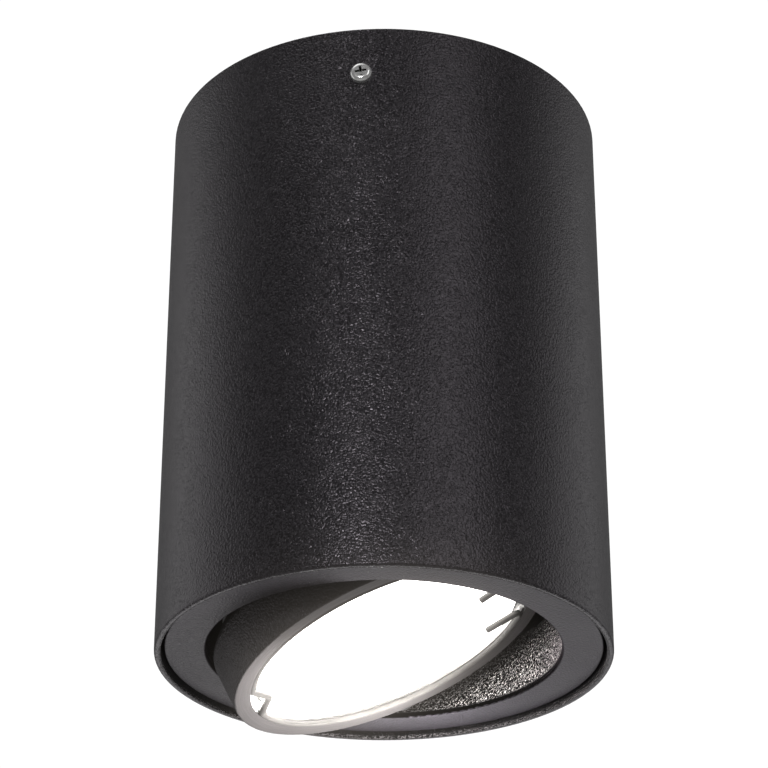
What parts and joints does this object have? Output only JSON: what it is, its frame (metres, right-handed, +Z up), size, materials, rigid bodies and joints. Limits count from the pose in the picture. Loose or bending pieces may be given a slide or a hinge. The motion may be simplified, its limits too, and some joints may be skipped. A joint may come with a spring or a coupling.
{
  "type": "surface mounted ceiling spotlight",
  "caption": "Black textured tube spotlight that is screwed to a ceiling, with a turntable face ring and a tilting round head holding a lit reflector lamp in a wire clip.",
  "frame": {"origin": "centre of the face that lies on the ceiling, on the tube's axis", "axes": "+Z points up into the ceiling; the tube hangs down along -Z; the two side screws and the tilt axis lie along Y; at rest the beam points down and towards +X"},
  "size_m": [0.082, 0.0844, 0.1169],
  "materials": {
    "black_coated_aluminium": "matte",
    "zinc_plated_steel": "satin",
    "nickel_plated_steel": "gloss",
    "black_rubber": "matte",
    "white_polyamide": "satin",
    "black_polyamide": "satin",
    "brass": "satin",
    "tinned_brass": "satin",
    "green_yellow_insulation": "satin",
    "white_silicone_insulation": "satin",
    "glass_fibre_sleeve": "matte",
    "plain_aluminium": "satin",
    "spring_steel": "satin",
    "lit_lamp_lens": "gloss",
    "lamp_aluminium": "satin",
    "lamp_led_board": "satin",
    "lampholder_ceramic": "satin"
  },
  "bodies": {
    "housing": {"housing_tube": "black_coated_aluminium", "ceiling_bracket": "zinc_plated_steel", "side_screws": "nickel_plated_steel", "cable_grommet": "black_rubber", "terminal_block": "white_polyamide", "terminal_inserts": "brass", "terminal_screws": "zinc_plated_steel", "block_screws": "zinc_plated_steel", "earth_screw": "zinc_plated_steel", "earth_washer": "zinc_plated_steel", "earth_ring_terminal": "tinned_brass", "earth_lead": "green_yellow_insulation", "carrier_ring": "plain_aluminium", "stop_pin": "zinc_plated_steel", "holder_leads_upper": "white_silicone_insulation"},
    "swivel": {"swivel_ring": "black_coated_aluminium", "lower_glide_washer": "white_polyamide", "upper_glide_washer": "white_polyamide", "retaining_ring": "zinc_plated_steel", "retaining_screws": "zinc_plated_steel", "lead_sleeve": "glass_fibre_sleeve"},
    "head": {"tilt_head": "black_coated_aluminium", "pivot_screws": "zinc_plated_steel", "pivot_washers": "black_polyamide", "lamp_clip": "spring_steel", "lamp_lens": "lit_lamp_lens", "lamp_body": "lamp_aluminium", "lamp_led_board": "lamp_led_board", "lamp_base": "white_polyamide", "lamp_pins": "tinned_brass", "lampholder": "lampholder_ceramic", "holder_back_plate": "lampholder_ceramic", "holder_rivets": "tinned_brass", "holder_contacts": "brass", "holder_leads_lower": "white_silicone_insulation"}
  },
  "joints": [
    {"name": "pan", "type": "hinge", "parent": "housing", "child": "swivel", "pos_m": [0, 0, -0.1], "axis": [0, 0, 1], "range_deg": [-175, 175], "deforming": ["holder_leads_upper"]},
    {"name": "tilt", "type": "hinge", "parent": "swivel", "child": "head", "pos_m": [0, 0, -0.1028], "axis": [0, -1, 0], "range_deg": [-47, 3], "deforming": ["holder_leads_lower"]}
  ]
}
